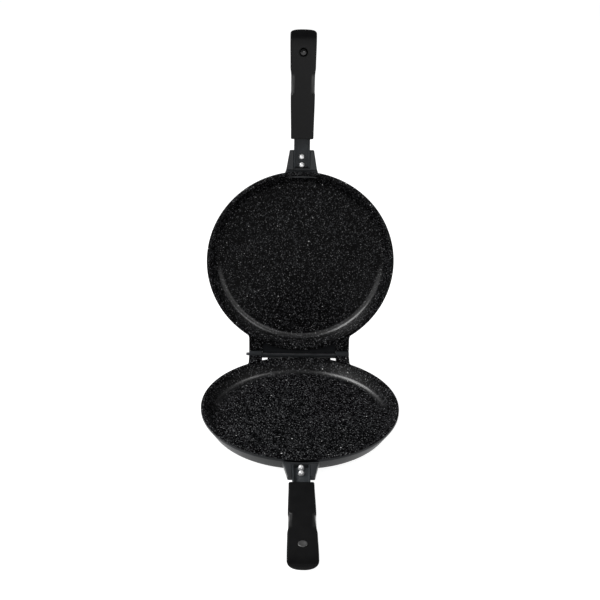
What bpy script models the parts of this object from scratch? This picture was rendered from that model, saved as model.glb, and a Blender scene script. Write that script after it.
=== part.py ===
"""Double sided flip pan: two shallow round cast pans that fold together on a hinge pin at the back.

Each pan is made in its own half frame: the origin is the centre of the rim plane, +Z points out of
the cavity, -Y runs along the handle and +Y to the hinge. The lower half stands on the floor, with the
world origin at the centre of its flat underside. The upper half is the same half frame turned over
about Y and swung open about the hinge axis, which runs along X.
"""

import math

import bmesh
import bpy

MM = 0.001

# Pan
RIM_RADIUS = 120.0 * MM
RIM_INNER_RADIUS = 115.2 * MM
RIM_BAND = 3.2 * MM
RIM_EDGE = 0.6 * MM
DEPTH = 20.6 * MM
BASE_RADIUS = 106.0 * MM
BASE_CORNER = 5.0 * MM
CAVITY_DEPTH = 16.6 * MM
FLOOR_RADIUS = 104.2 * MM
FLOOR_FILLET = 4.8 * MM
PAN_STEPS = 80

# Gap that meshes keep where the real pieces touch
TOUCH = 0.3 * MM

# Hinge
HINGE_Y = 125.9 * MM
HINGE_Z = 0.2 * MM
OPEN_ANGLE = math.radians(95.5)
EAR_INNER = 48.6 * MM
EAR_OUTER = 66.0 * MM
KNUCKLE_RADIUS = 4.2 * MM
HOOK_RADIUS = 5.0 * MM
HOOK_LIP = 0.8 * MM
WEB_FRONT = -1.6 * MM
WEB_BACK = -7.5 * MM
HOOK_HALF = EAR_INNER - 2 * TOUCH
PIN_RADIUS = 2.0 * MM
PIN_LEFT = -EAR_OUTER - 3.8 * MM
PIN_RIGHT = EAR_OUTER - 0.6 * MM
STOP_LENGTH = 9.0 * MM
EAR_ROOT_Y = 98.0 * MM
EAR_DROP = 11.0 * MM
APRON_HALF = 41.6 * MM
APRON_BACK_Y = 120.4 * MM
APRON_TOP = -1.8 * MM
APRON_LOW = -8.5 * MM

# Handle lug
LUG_ROOT_Y = -112.0 * MM
LUG_TIP_Y = -145.8 * MM
LUG_ROOT_HALF = 20.9 * MM
LUG_TIP_HALF = 15.2 * MM
LUG_TOP = -3.4 * MM
LUG_ROOT_LOW = -11.6 * MM
LUG_TIP_LOW = -9.2 * MM
KEEL_ROOT_HALF = 12.6 * MM
KEEL_TIP_HALF = 9.3 * MM
KEEL_LOW = -12.5 * MM
CHANNEL_END_Y = -121.5 * MM

# Shank, a U channel of sheet steel
SHANK_HALF = 9.9 * MM
SHEET = 1.5 * MM
SHANK_LOW = -8.4 * MM
SHANK_TOP = -2.6 * MM
SHANK_BEND = 1.8 * MM
SHANK_FRONT_Y = -124.5 * MM
SHANK_BACK_Y = -212.0 * MM

# Rivets
RIVET_INNER_Y = -127.6 * MM
RIVET_OUTER_Y = -137.9 * MM
RIVET_RADIUS = 2.0 * MM
RIVET_HEAD_RADIUS = 3.4 * MM
RIVET_HEAD_HEIGHT = 4.6 * MM
RIVET_TAIL_RADIUS = 3.2 * MM
RIVET_TAIL_HEIGHT = 1.6 * MM

# Grip
GRIP_BASE_Y = -160.6 * MM
GRIP_TIP_Y = -291.4 * MM
GRIP_FACE = -0.1 * MM
GRIP_DEEP = 12.4 * MM
GRIP_SWELL = 0.8 * MM
GRIP_EDGE = 1.6 * MM
GRIP_WIDEST = 0.36
GRIP_BASE_CORNER = 1.6 * MM
TIP_ROLL = 12.0 * MM
TIP_ROLL_DROP = 8.0 * MM
TIP_PLAN = 7.0 * MM
TIP_UNDER = 4.0 * MM
TIP_UNDER_RISE = 2.0 * MM
SCOOP_START_Y = -213.5 * MM
SCOOP_END_Y = -241.0 * MM
SCOOP_DEPTH = 3.9 * MM

# Magnet latch and grip screws
LATCH_Y = -265.5 * MM
MAGNET_RADIUS = 4.9 * MM
MAGNET_FACE = 0.7 * MM
MAGNET_HEIGHT = 4.5 * MM
KEEPER_RADIUS = 4.6 * MM
KEEPER_APEX = -0.8 * MM
KEEPER_DOME = 2.0 * MM
KEEPER_HEIGHT = 3.4 * MM
SCREW_Y = -200.0 * MM
SCREW_RADIUS = 2.0 * MM
SCREW_HEAD_RADIUS = 3.6 * MM
SCREW_HEAD_HEIGHT = 2.1 * MM
SCREW_SEAT = -10.4 * MM
SCREW_END = -3.0 * MM
NUT_HEIGHT = 2.8 * MM
NUT_CORNER = 4.04 * MM

# How far a cutter reaches past the wall that it cuts
PAST = 6.0 * MM


def clear_scene():
    for obj in list(bpy.data.objects):
        bpy.data.objects.remove(obj, do_unlink=True)


def finish_of(name, colour, roughness, metallic):
    """A Principled material of one colour."""
    material = bpy.data.materials.new(name)
    material.use_nodes = True
    shader = material.node_tree.nodes["Principled BSDF"]
    shader.inputs["Base Color"].default_value = (*colour, 1.0)
    shader.inputs["Roughness"].default_value = roughness
    shader.inputs["Metallic"].default_value = metallic
    return material


def frame_empty(name, location, rotation=(0.0, 0.0, 0.0)):
    empty = bpy.data.objects.new(name, None)
    empty.location = location
    empty.rotation_euler = rotation
    bpy.context.scene.collection.objects.link(empty)
    return empty


def put(name, mesh, parent, material=None, offset=(0.0, 0.0, 0.0)):
    """Links a mesh as an object under its half frame."""
    obj = bpy.data.objects.new(name, mesh)
    obj.parent = parent
    obj.location = offset
    if material:
        mesh.materials.append(material)
    bpy.context.scene.collection.objects.link(obj)
    return obj


def helper(name, mesh, half):
    """A cutter, or a shape that is joined to another, kept out of the model itself."""
    obj = put(name, mesh, half["frame"], offset=half["offset"])
    obj.hide_render = True
    obj.display_type = "WIRE"
    return obj


def combine(obj, other, operation):
    step = obj.modifiers.new(other.name, "BOOLEAN")
    step.operation = operation
    step.solver = "EXACT"
    step.object = other


def mesh_from(name, shape):
    """Closes a bmesh into a mesh with its faces pointing out."""
    bmesh.ops.recalc_face_normals(shape, faces=shape.faces)
    if shape.calc_volume(signed=True) < 0.0:
        bmesh.ops.reverse_faces(shape, faces=shape.faces)
    mesh = bpy.data.meshes.new(name)
    shape.to_mesh(mesh)
    shape.free()
    mesh.shade_smooth()
    mesh.set_sharp_from_angle(angle=math.radians(30.0))
    return mesh


def lathe(name, profile, steps, along="Z", centre=(0.0, 0.0, 0.0)):
    """Turns a profile of (radius, height) points round Z or X into a solid. It starts and ends on the axis."""
    shape = bmesh.new()

    def point(radius, turn, height):
        x = radius * math.cos(turn)
        y = radius * math.sin(turn)
        place = (height, x, y) if along == "X" else (x, y, height)
        return shape.verts.new([a + b for a, b in zip(place, centre)])

    turns = [2.0 * math.pi * i / steps for i in range(steps)]
    foot = point(0.0, 0.0, profile[0][1])
    crown = point(0.0, 0.0, profile[-1][1])
    rings = [[point(radius, turn, height) for turn in turns] for radius, height in profile[1:-1]]
    for i in range(steps):
        j = (i + 1) % steps
        shape.faces.new((foot, rings[0][j], rings[0][i]))
        shape.faces.new((crown, rings[-1][i], rings[-1][j]))
        for below, above in zip(rings, rings[1:]):
            shape.faces.new((below[i], below[j], above[j], above[i]))
    return mesh_from(name, shape)


def extrude_outline(name, outline, low, high, along):
    """A prism: a closed outline carried from low to high along X, Y or Z."""
    places = {
        "X": lambda a, b, c: (c, a, b),
        "Y": lambda a, b, c: (a, c, b),
        "Z": lambda a, b, c: (a, b, c),
    }
    place = places[along]
    shape = bmesh.new()
    floor = shape.faces.new([shape.verts.new(place(a, b, low)) for a, b in outline])
    made = bmesh.ops.extrude_face_region(shape, geom=[floor])
    start = place(0.0, 0.0, 0.0)
    end = place(0.0, 0.0, high - low)
    moved = [item for item in made["geom"] if isinstance(item, bmesh.types.BMVert)]
    vector = [b - a for a, b in zip(start, end)]
    bmesh.ops.translate(shape, verts=moved, vec=vector)
    return mesh_from(name, shape)


def block(name, x_range, y_range, z_range):
    outline = [
        (x_range[0], y_range[0]),
        (x_range[1], y_range[0]),
        (x_range[1], y_range[1]),
        (x_range[0], y_range[1]),
    ]
    return extrude_outline(name, outline, z_range[0], z_range[1], "Z")


def tapered_block(name, root, tip):
    """A block between two rectangles (y, half width, low, high), square to Y."""
    shape = bmesh.new()
    loops = []
    for y, half, low, high in (root, tip):
        corners = ((-half, low), (half, low), (half, high), (-half, high))
        loops.append([shape.verts.new((x, y, z)) for x, z in corners])
    shape.faces.new(loops[0])
    shape.faces.new(loops[1])
    for side in range(4):
        other = (side + 1) % 4
        shape.faces.new((loops[0][side], loops[0][other], loops[1][other], loops[1][side]))
    return mesh_from(name, shape)


def arc(centre, radius, start, end, steps):
    """Points on a round stretch, its angles in degrees from the first axis."""
    angles = [math.radians(start + (end - start) * i / steps) for i in range(steps + 1)]
    return [(centre[0] + radius * math.cos(a), centre[1] + radius * math.sin(a)) for a in angles]


def bowl_corner(centre, radius, top, steps):
    """The round corner from a flat bottom up to where a straight wall to the point top leaves it."""
    across = top[0] - centre[0]
    up = top[1] - centre[1]
    lean = math.atan2(up, across) - math.acos(radius / math.hypot(across, up))
    return arc(centre, radius, -90.0, math.degrees(lean), steps)


def bevelled(obj, width, segments, angle=40.0):
    step = obj.modifiers.new("edges", "BEVEL")
    step.width = width
    step.segments = segments
    step.limit_method = "ANGLE"
    step.angle_limit = math.radians(angle)


def bore(name, half, radius, y, low, high):
    """A round cutter along Z through the handle parts."""
    profile = [(0.0, low), (radius, low), (radius, high), (0.0, high)]
    return helper(name, lathe(name, profile, 24, centre=(0.0, y, 0.0)), half)


def pan_shell(half, name, material):
    """The turned pan, still without its cavity, and the cutter that makes the cavity."""
    corner = (BASE_RADIUS, BASE_CORNER - DEPTH)
    outer = [(0.0, -DEPTH)]
    outer += bowl_corner(corner, BASE_CORNER, (RIM_RADIUS, -RIM_BAND), 4)
    outer += [(RIM_RADIUS, -RIM_BAND), (RIM_RADIUS, -RIM_EDGE), (RIM_RADIUS - RIM_EDGE, 0.0)]
    outer += [(0.0, 0.0)]
    pan = put(name, lathe(name, outer, PAN_STEPS), half["frame"], material, half["offset"])
    fillet = (FLOOR_RADIUS, FLOOR_FILLET - CAVITY_DEPTH)
    inner = [(0.0, -CAVITY_DEPTH)]
    inner += bowl_corner(fillet, FLOOR_FILLET, (RIM_INNER_RADIUS, -RIM_EDGE), 5)
    inner += [(RIM_INNER_RADIUS, -RIM_EDGE), (RIM_INNER_RADIUS + RIM_EDGE, 0.0)]
    inner += [(RIM_INNER_RADIUS + RIM_EDGE, PAST), (0.0, PAST)]
    cavity = helper(name + "_cavity", lathe(name + "_cavity", inner, PAN_STEPS), half)
    return pan, cavity


def add_lug(pan, half):
    """The tapered cast lug, thicker under its middle, with a channel for the shank and two rivet holes."""
    name = pan.name
    root = (LUG_ROOT_Y, LUG_ROOT_HALF, LUG_ROOT_LOW, LUG_TOP)
    tip = (LUG_TIP_Y, LUG_TIP_HALF, LUG_TIP_LOW, LUG_TOP)
    wings = helper(name + "_lug", tapered_block(name + "_lug", root, tip), half)
    bevelled(wings, 1.0 * MM, 2)
    root = (LUG_ROOT_Y, KEEL_ROOT_HALF, KEEL_LOW, LUG_TOP - MM)
    tip = (LUG_TIP_Y + 0.5 * MM, KEEL_TIP_HALF, KEEL_LOW, LUG_TOP - MM)
    keel = helper(name + "_keel", tapered_block(name + "_keel", root, tip), half)
    combine(pan, wings, "UNION")
    combine(pan, keel, "UNION")
    side = SHANK_HALF + TOUCH
    y_range = (LUG_TIP_Y - PAST, CHANNEL_END_Y)
    slot = block(name + "_channel", (-side, side), y_range, (SHANK_LOW - TOUCH, PAST))
    return [helper(name + "_channel", slot, half)] + [
        bore(f"{name}_rivet_hole_{number}", half, RIVET_RADIUS + TOUCH, y, KEEL_LOW - PAST, PAST)
        for number, y in enumerate((RIVET_INNER_Y, RIVET_OUTER_Y), 1)
    ]


def ear_outline():
    """Side view of a hinge ear: arm, knuckle, and the flat behind it on which the open pan rests."""
    axis = (HINGE_Y, HINGE_Z)
    slope = OPEN_ANGLE - math.pi / 2
    knuckle = arc(axis, KNUCKLE_RADIUS, 180.0, 90.0 - math.degrees(slope), 8)
    last = knuckle[-1]
    heel = (last[0] + STOP_LENGTH * math.cos(slope), last[1] - STOP_LENGTH * math.sin(slope))
    return (
        [(EAR_ROOT_Y, 0.0), (HINGE_Y - KNUCKLE_RADIUS, 0.0)]
        + knuckle
        + [heel, (heel[0], -3.0 * MM), (HINGE_Y + 3.0 * MM, -7.5 * MM), (EAR_ROOT_Y, -EAR_DROP)]
    )


def add_ears(pan, half):
    """The two ears that hold the pin, and the apron that closes the middle of the gap between them."""
    for side, name in ((-1, "left"), (1, "right")):
        ends = sorted((side * EAR_INNER, side * EAR_OUTER))
        mesh = extrude_outline(f"{pan.name}_{name}_ear", ear_outline(), ends[0], ends[1], "X")
        combine(pan, helper(f"{pan.name}_{name}_ear", mesh, half), "UNION")
    apron = [
        (EAR_ROOT_Y + 6.0 * MM, APRON_TOP),
        (APRON_BACK_Y, APRON_TOP),
        (APRON_BACK_Y, APRON_TOP - 3.0 * MM),
        (APRON_BACK_Y - 4.0 * MM, APRON_LOW),
        (EAR_ROOT_Y + 6.0 * MM, APRON_LOW),
    ]
    mesh = extrude_outline(pan.name + "_apron", apron, -APRON_HALF, APRON_HALF, "X")
    combine(pan, helper(pan.name + "_apron", mesh, half), "UNION")
    radius = PIN_RADIUS + TOUCH
    low = -EAR_OUTER - PAST
    high = EAR_OUTER + PAST
    profile = [(0.0, low), (radius, low), (radius, high), (0.0, high)]
    mesh = lathe(pan.name + "_pin_hole", profile, 24, "X", (0.0, HINGE_Y, HINGE_Z))
    return [helper(pan.name + "_pin_hole", mesh, half)]


def hook_outline():
    """Side view of the set back web and the hook at its end, which turns under the pin and up before it."""
    axis = (HINGE_Y, HINGE_Z)
    radius = PIN_RADIUS + TOUCH
    web_angle = 180.0 + math.degrees(math.asin((HINGE_Z - WEB_FRONT) / radius))
    inner_end = 450.0 + math.degrees(math.asin(HOOK_LIP / radius))
    outer_start = 90.0 + math.degrees(math.asin(HOOK_LIP / HOOK_RADIUS))
    return (
        [(EAR_ROOT_Y + 6.0 * MM, WEB_FRONT)]
        + arc(axis, radius, web_angle, inner_end, 16)
        + arc(axis, HOOK_RADIUS, outer_start, -105.0, 16)
        + [(EAR_ROOT_Y + 6.0 * MM, WEB_BACK)]
    )


def add_hook(pan, half):
    """The end ribs, which rest on the ears when open, and the long hook that holds the pin."""
    stop_y = HINGE_Y - KNUCKLE_RADIUS - TOUCH
    rib = [(EAR_ROOT_Y, 0.0), (stop_y, 0.0), (stop_y, -9.0 * MM), (EAR_ROOT_Y, -EAR_DROP)]
    for side, name in ((-1, "left"), (1, "right")):
        ends = sorted((side * (HOOK_HALF - MM), side * EAR_OUTER))
        mesh = extrude_outline(f"{pan.name}_{name}_rib", rib, ends[0], ends[1], "X")
        combine(pan, helper(f"{pan.name}_{name}_rib", mesh, half), "UNION")
    mesh = extrude_outline(pan.name + "_hook", hook_outline(), -HOOK_HALF, HOOK_HALF, "X")
    combine(pan, helper(pan.name + "_hook", mesh, half), "UNION")
    return []


def make_pan(half, name, material, add_hinge):
    pan, cavity = pan_shell(half, name, material)
    cutters = add_lug(pan, half) + add_hinge(pan, half)
    for cutter in [cavity] + cutters:
        combine(pan, cutter, "DIFFERENCE")
    return pan


def shank_outline():
    """Section of the U channel, open towards the other handle, with round outer bends."""
    inner = SHANK_HALF - SHEET
    web_top = SHANK_LOW + SHEET
    left = arc((-SHANK_HALF + SHANK_BEND, SHANK_LOW + SHANK_BEND), SHANK_BEND, 180.0, 270.0, 3)
    right = arc((SHANK_HALF - SHANK_BEND, SHANK_LOW + SHANK_BEND), SHANK_BEND, 270.0, 360.0, 3)
    return (
        [(-SHANK_HALF, SHANK_TOP)]
        + left
        + right
        + [(SHANK_HALF, SHANK_TOP), (inner, SHANK_TOP), (inner, web_top)]
        + [(-inner, web_top), (-inner, SHANK_TOP)]
    )


def make_shank(half, name, material):
    mesh = extrude_outline(name, shank_outline(), SHANK_BACK_Y, SHANK_FRONT_Y, "Y")
    shank = put(name, mesh, half["frame"], material, half["offset"])
    holes = (RIVET_INNER_Y, RIVET_OUTER_Y, SCREW_Y)
    for number, y in enumerate(holes, 1):
        cutter = bore(f"{name}_hole_{number}", half, RIVET_RADIUS + TOUCH, y, -PAST * 3, PAST)
        combine(shank, cutter, "DIFFERENCE")
    return shank


def dome(radius, low, rise, steps):
    """A shallow round cap: (radius, height) points from its edge to its crown."""
    angles = [math.pi / 2 * i / steps for i in range(steps + 1)]
    return [(radius * math.cos(a), low + rise * math.sin(a)) for a in angles]


def make_rivet(half, name, y, material):
    seat = SHANK_LOW + SHEET + TOUCH
    foot = KEEL_LOW - TOUCH
    head = dome(RIVET_HEAD_RADIUS, seat, RIVET_HEAD_HEIGHT, 5)[::-1]
    tail = dome(RIVET_TAIL_RADIUS, foot, -RIVET_TAIL_HEIGHT, 4)
    profile = head + [(RIVET_RADIUS, seat), (RIVET_RADIUS, foot)] + tail
    return put(name, lathe(name, profile, 20, centre=(0.0, y, 0.0)), half["frame"], material, half["offset"])


def smooth_step(value, start, end):
    """0 before start and 1 after end, with a soft rise between."""
    t = min(max((value - start) / (end - start), 0.0), 1.0)
    return t * t * (3.0 - 2.0 * t)


def grip_half_width(y):
    """Half width of a grip: it widens slowly to the scoop, steps out behind it and widens to the tip."""
    reach = -y / MM
    half = 14.0 + 0.8 * smooth_step(reach, 161.0, 214.0)
    half -= 0.25 * smooth_step(reach, 214.0, 219.0)
    half += 0.9 * smooth_step(reach, 238.0, 248.0)
    half += 0.45 * smooth_step(reach, 248.0, 278.0)
    half *= MM
    from_base = GRIP_BASE_Y - y
    if from_base < GRIP_BASE_CORNER:
        rest = GRIP_BASE_CORNER - from_base
        half += math.sqrt(GRIP_BASE_CORNER**2 - rest**2) - GRIP_BASE_CORNER
    from_tip = (y - GRIP_TIP_Y) / TIP_PLAN
    if from_tip < 1.0:
        half *= (1.0 - (1.0 - from_tip) ** 3) ** (1.0 / 3.0)
    return half


def scoop_at(y):
    """Depth of the thumb scoop: it starts abruptly on the pan's side and runs out towards the tip."""
    rise = smooth_step(-y, -SCOOP_START_Y, -SCOOP_START_Y + 3.0 * MM)
    fall = 1.0 - smooth_step(-y, -SCOOP_START_Y + 4.0 * MM, -SCOOP_END_Y)
    return SCOOP_DEPTH * rise * fall


def rolled(distance, length):
    """Fall of a quarter round of unit height, over its length."""
    u = min(max(distance / length, 0.0), 1.0)
    return 1.0 - math.sqrt(1.0 - u * u)


def grip_section(y):
    """Closed outline of a grip at y: flat face, rounded edges or scoops, and a full rounded belly."""
    half = grip_half_width(y)
    to_roll = GRIP_TIP_Y + TIP_ROLL - y
    to_under = GRIP_TIP_Y + TIP_UNDER - y
    face = GRIP_FACE - TIP_ROLL_DROP * rolled(to_roll, TIP_ROLL)
    swell = GRIP_SWELL * math.sin(math.pi * (y - GRIP_BASE_Y) / (GRIP_TIP_Y - GRIP_BASE_Y))
    belly = -GRIP_DEEP - swell + TIP_UNDER_RISE * rolled(to_under, TIP_UNDER)
    widest = face + (belly - face) * GRIP_WIDEST
    scoop = scoop_at(y)
    edge = min(GRIP_EDGE, 0.5 * half, 0.3 * (face - belly))
    flat = half - edge - scoop
    fall = min(edge + 0.8 * scoop, face - widest)
    side = [(flat, face)]
    for degrees in (30.0, 60.0, 90.0):
        a = math.radians(degrees)
        side.append((flat + (half - flat) * math.sin(a), face - fall * (1.0 - math.cos(a))))
    for i in range(1, 7):
        a = math.radians(15.0 * i)
        across = half * math.cos(a) ** 0.8 if i < 6 else 0.0
        side.append((across, widest - (widest - belly) * math.sin(a) ** 0.8))
    return side + [(-x, z) for x, z in side[-2::-1]]


def grip_stations():
    """Places along the grip: close together at its ends and scoops, wider between."""
    spans = (
        (0.0, 3.0, 3),
        (3.0, 51.5, 5),
        (51.5, 58.0, 4),
        (58.0, 88.0, 6),
        (88.0, 118.0, 3),
        (118.0, 126.0, 4),
        (126.0, 130.6, 5),
    )
    places = [0.0]
    for start, end, count in spans:
        places += [start + (end - start) * (i + 1) / count for i in range(count)]
    return [GRIP_BASE_Y - place * MM for place in places]


def grip_mesh(name):
    shape = bmesh.new()
    rings = []
    for y in grip_stations():
        rings.append([shape.verts.new((x, y, z)) for x, z in grip_section(y)])
    shape.faces.new(rings[0])
    shape.faces.new(rings[-1])
    count = len(rings[0])
    for near, far in zip(rings, rings[1:]):
        for i in range(count):
            j = (i + 1) % count
            shape.faces.new((near[i], near[j], far[j], far[i]))
    return mesh_from(name, shape)


def make_grip(half, name, latch_radius, latch_floor, material):
    """A moulded half grip, with its pocket for the shank, the latch pocket and the screw hole."""
    grip = put(name, grip_mesh(name), half["frame"], material, half["offset"])
    side = SHANK_HALF + TOUCH
    y_range = (SHANK_BACK_Y - MM, GRIP_BASE_Y + PAST)
    z_range = (SHANK_LOW - TOUCH, SHANK_TOP + TOUCH)
    pocket = helper(name + "_pocket", block(name + "_pocket", (-side, side), y_range, z_range), half)
    latch = bore(name + "_latch_pocket", half, latch_radius, LATCH_Y, latch_floor, PAST)
    hole = bore(name + "_screw_hole", half, SCREW_RADIUS + TOUCH, SCREW_Y, -3 * PAST, SHANK_LOW)
    seat = SCREW_SEAT
    sink = bore(name + "_head_sink", half, SCREW_HEAD_RADIUS + 0.5 * MM, SCREW_Y, -4 * PAST, seat)
    for cutter in (pocket, latch, hole, sink):
        combine(grip, cutter, "DIFFERENCE")
    return grip


def make_magnet(half, name, material):
    low = MAGNET_FACE - MAGNET_HEIGHT
    edge = 0.4 * MM
    profile = [(0.0, low), (MAGNET_RADIUS, low), (MAGNET_RADIUS, MAGNET_FACE - edge)]
    profile += [(MAGNET_RADIUS - edge, MAGNET_FACE), (0.0, MAGNET_FACE)]
    mesh = lathe(name, profile, 32, centre=(0.0, LATCH_Y, 0.0))
    return put(name, mesh, half["frame"], material, half["offset"])


def make_keeper(half, name, material):
    low = KEEPER_APEX - KEEPER_HEIGHT
    edge = KEEPER_APEX - KEEPER_DOME
    profile = [(0.0, low), (KEEPER_RADIUS, low)] + dome(KEEPER_RADIUS, edge, KEEPER_DOME, 6)
    mesh = lathe(name, profile, 32, centre=(0.0, LATCH_Y, 0.0))
    return put(name, mesh, half["frame"], material, half["offset"])


def make_grip_screw(half, name, material):
    """A screw that comes up from the belly of the grip, with a slotted head."""
    seat = SCREW_SEAT - TOUCH
    foot = seat - SCREW_HEAD_HEIGHT
    profile = [(0.0, foot), (SCREW_HEAD_RADIUS - 0.4 * MM, foot), (SCREW_HEAD_RADIUS, foot + 0.4 * MM)]
    profile += [(SCREW_HEAD_RADIUS, seat), (SCREW_RADIUS, seat)]
    profile += [(SCREW_RADIUS, SCREW_END - 0.5 * MM), (SCREW_RADIUS - 0.5 * MM, SCREW_END), (0.0, SCREW_END)]
    mesh = lathe(name, profile, 20, centre=(0.0, SCREW_Y, 0.0))
    screw = put(name, mesh, half["frame"], material, half["offset"])
    y_range = (SCREW_Y - 0.5 * MM, SCREW_Y + 0.5 * MM)
    slot = block(name + "_slot", (-PAST, PAST), y_range, (foot - PAST, foot + 1.1 * MM))
    combine(screw, helper(name + "_slot", slot, half), "DIFFERENCE")
    return screw


def make_nut(half, name, material):
    low = SHANK_LOW + SHEET + TOUCH
    corners = arc((0.0, SCREW_Y), NUT_CORNER, 0.0, 300.0, 5)
    mesh = extrude_outline(name, corners, low, low + NUT_HEIGHT, "Z")
    nut = put(name, mesh, half["frame"], material, half["offset"])
    combine(nut, bore(name + "_bore", half, SCREW_RADIUS + TOUCH, SCREW_Y, -3 * PAST, PAST), "DIFFERENCE")
    return nut


def make_pin(half, name, material):
    edge = 0.5 * MM
    profile = [(0.0, PIN_LEFT), (PIN_RADIUS - edge, PIN_LEFT), (PIN_RADIUS, PIN_LEFT + edge)]
    profile += [(PIN_RADIUS, PIN_RIGHT - edge), (PIN_RADIUS - edge, PIN_RIGHT), (0.0, PIN_RIGHT)]
    mesh = lathe(name, profile, 24, "X", (0.0, HINGE_Y, HINGE_Z))
    return put(name, mesh, half["frame"], material, half["offset"])


def make_handle(half, side, latch_radius, latch_floor, steel, bright, plastic):
    make_shank(half, side + "_shank", steel)
    make_rivet(half, side + "_rivet_inner", RIVET_INNER_Y, bright)
    make_rivet(half, side + "_rivet_outer", RIVET_OUTER_Y, bright)
    make_grip(half, side + "_grip", latch_radius, latch_floor, plastic)
    make_grip_screw(half, side + "_grip_screw", steel)
    make_nut(half, side + "_grip_nut", steel)


def main():
    clear_scene()
    cast = finish_of("coated_cast_aluminium", (0.035, 0.037, 0.04), 0.42, 0.2)
    steel = finish_of("grey_steel", (0.10, 0.11, 0.12), 0.4, 0.9)
    bright = finish_of("bright_steel", (0.62, 0.62, 0.62), 0.25, 1.0)
    plastic = finish_of("black_moulding", (0.013, 0.013, 0.014), 0.5, 0.0)

    lower_frame = frame_empty("lower_frame", (0.0, 0.0, DEPTH))
    lower = {"frame": lower_frame, "offset": (0.0, 0.0, 0.0)}
    axis_place = (0.0, HINGE_Y, DEPTH + HINGE_Z)
    upper_frame = frame_empty("upper_hinge", axis_place, (OPEN_ANGLE, math.pi, 0.0))
    upper = {"frame": upper_frame, "offset": (0.0, -HINGE_Y, -HINGE_Z)}

    make_pan(lower, "lower_pan", cast, add_ears)
    make_pan(upper, "upper_pan", cast, add_hook)
    make_pin(lower, "hinge_pin", steel)
    magnet_floor = MAGNET_FACE - MAGNET_HEIGHT - TOUCH
    make_handle(lower, "lower", MAGNET_RADIUS + 0.4 * MM, magnet_floor, steel, bright, plastic)
    make_magnet(lower, "grip_magnet", bright)
    keeper_floor = KEEPER_APEX - KEEPER_HEIGHT - TOUCH
    make_handle(upper, "upper", MAGNET_RADIUS + 0.5 * MM, keeper_floor, steel, bright, plastic)
    make_keeper(upper, "grip_keeper", bright)


main()
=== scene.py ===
"""Looks of the double sided flip pan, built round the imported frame.

Each half is drawn in its own half frame, in millimetres: the origin is the centre of the rim plane,
+Z points out of the cavity, -Y runs along the handle and +Y to the hinge. at_lower and at_upper
then carry the points to the row frame, in metres.
"""

import math

import bpy
import numpy as np
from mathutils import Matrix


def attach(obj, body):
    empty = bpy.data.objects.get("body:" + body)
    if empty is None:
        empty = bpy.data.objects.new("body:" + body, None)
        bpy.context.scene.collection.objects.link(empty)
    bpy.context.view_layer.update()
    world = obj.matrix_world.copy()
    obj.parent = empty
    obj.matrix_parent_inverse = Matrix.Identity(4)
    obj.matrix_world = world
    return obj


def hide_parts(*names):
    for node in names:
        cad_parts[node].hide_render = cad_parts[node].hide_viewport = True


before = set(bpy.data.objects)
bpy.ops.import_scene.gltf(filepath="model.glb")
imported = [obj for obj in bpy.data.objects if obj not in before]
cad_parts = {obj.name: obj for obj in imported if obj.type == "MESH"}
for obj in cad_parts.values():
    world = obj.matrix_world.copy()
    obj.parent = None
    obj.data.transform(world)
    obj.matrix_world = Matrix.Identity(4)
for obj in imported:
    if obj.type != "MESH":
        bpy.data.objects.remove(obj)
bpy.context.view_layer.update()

LOWER = "lower_half"
UPPER = "upper_half"

MM_IN_M = 1000.0
SHARP = math.radians(35.0)  # faces that meet at more than this keep a sharp edge

# Pan
RIM = 120.0  # outer radius
DEPTH = 20.6  # from the rim plane to the underside
CAVITY = 16.6  # from the rim plane to the floor
CORNER = 8.0  # radius of the round corner between the floor and the wall of the cavity
CORNER_AT = 101.4  # how far out the centre of that round lies
WALL_TOP = (115.2, -0.6)
LIP = 1.2  # radius of the round between the wall and the flat rim
LIP_AT = (116.4, -1.2)
RIM_ROUND = 0.6
PAN_STEPS = 256

# Hinge
HINGE_Y = 125.9
HINGE_Z = 0.2
OPEN = math.radians(95.5)
EAR_IN = 48.6
EAR_OUT = 66.0
RIB_IN = 47.9
HOOK_HALF = 48.45
APRON_HALF = 41.6
PIN_RADIUS = 2.0

# Handle
LUG_ROOT = -112.0
LUG_TIP = -145.8
LUG_ROOT_HALF = 20.9
LUG_TIP_HALF = 15.2
LUG_ROUND = 1.2
GROOVE = -120.9
TRAY_END = -123.35
SHANK_ENDS = (-212.0, -124.5)
INNER_RIVET = -127.6
OUTER_RIVET = -137.9
GRIP_BASE = -160.6
GRIP_TIP = -291.4
GRIP_EDGE = 1.6
SCREW = -200.0
LATCH = -265.5


# Places and meshes


def at_lower(points):
    """The lower half: its rim plane lies DEPTH above the floor."""
    return (points + np.array([0.0, 0.0, DEPTH])) / MM_IN_M


def at_upper(points):
    """The upper half: turned over about Y and swung open by OPEN about the hinge axis."""
    x, y, z = np.moveaxis(points - np.array([0.0, HINGE_Y, HINGE_Z]), -1, 0)
    c, s = math.cos(OPEN), math.sin(OPEN)
    turned = np.stack([-x, HINGE_Y + c * y - s * z, DEPTH + HINGE_Z - s * y - c * z], axis=-1)
    return turned / MM_IN_M


PLACES = {LOWER: at_lower, UPPER: at_upper}


def smooth(value, start, end):
    """0 up to start, 1 from end on, and t^2 (3 - 2t) between them, with t from 0 to 1."""
    t = np.clip((value - start) / (end - start), 0.0, 1.0)
    return t * t * (3.0 - 2.0 * t)


def rolled(distance, length):
    """Fall of a quarter round of unit height, over its length."""
    u = np.clip(distance / length, 0.0, 1.0)
    return 1.0 - np.sqrt(1.0 - u * u)


def soften(mesh):
    """Shades a mesh smooth except at its sharp edges."""
    mesh.shade_smooth()
    mesh.set_sharp_from_angle(angle=SHARP)


def mesh_of(name, points, faces):
    """A softened mesh from points and faces."""
    mesh = bpy.data.meshes.new(name)
    mesh.from_pydata(points.tolist(), [], faces)
    mesh.update()
    soften(mesh)
    return mesh


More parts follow.
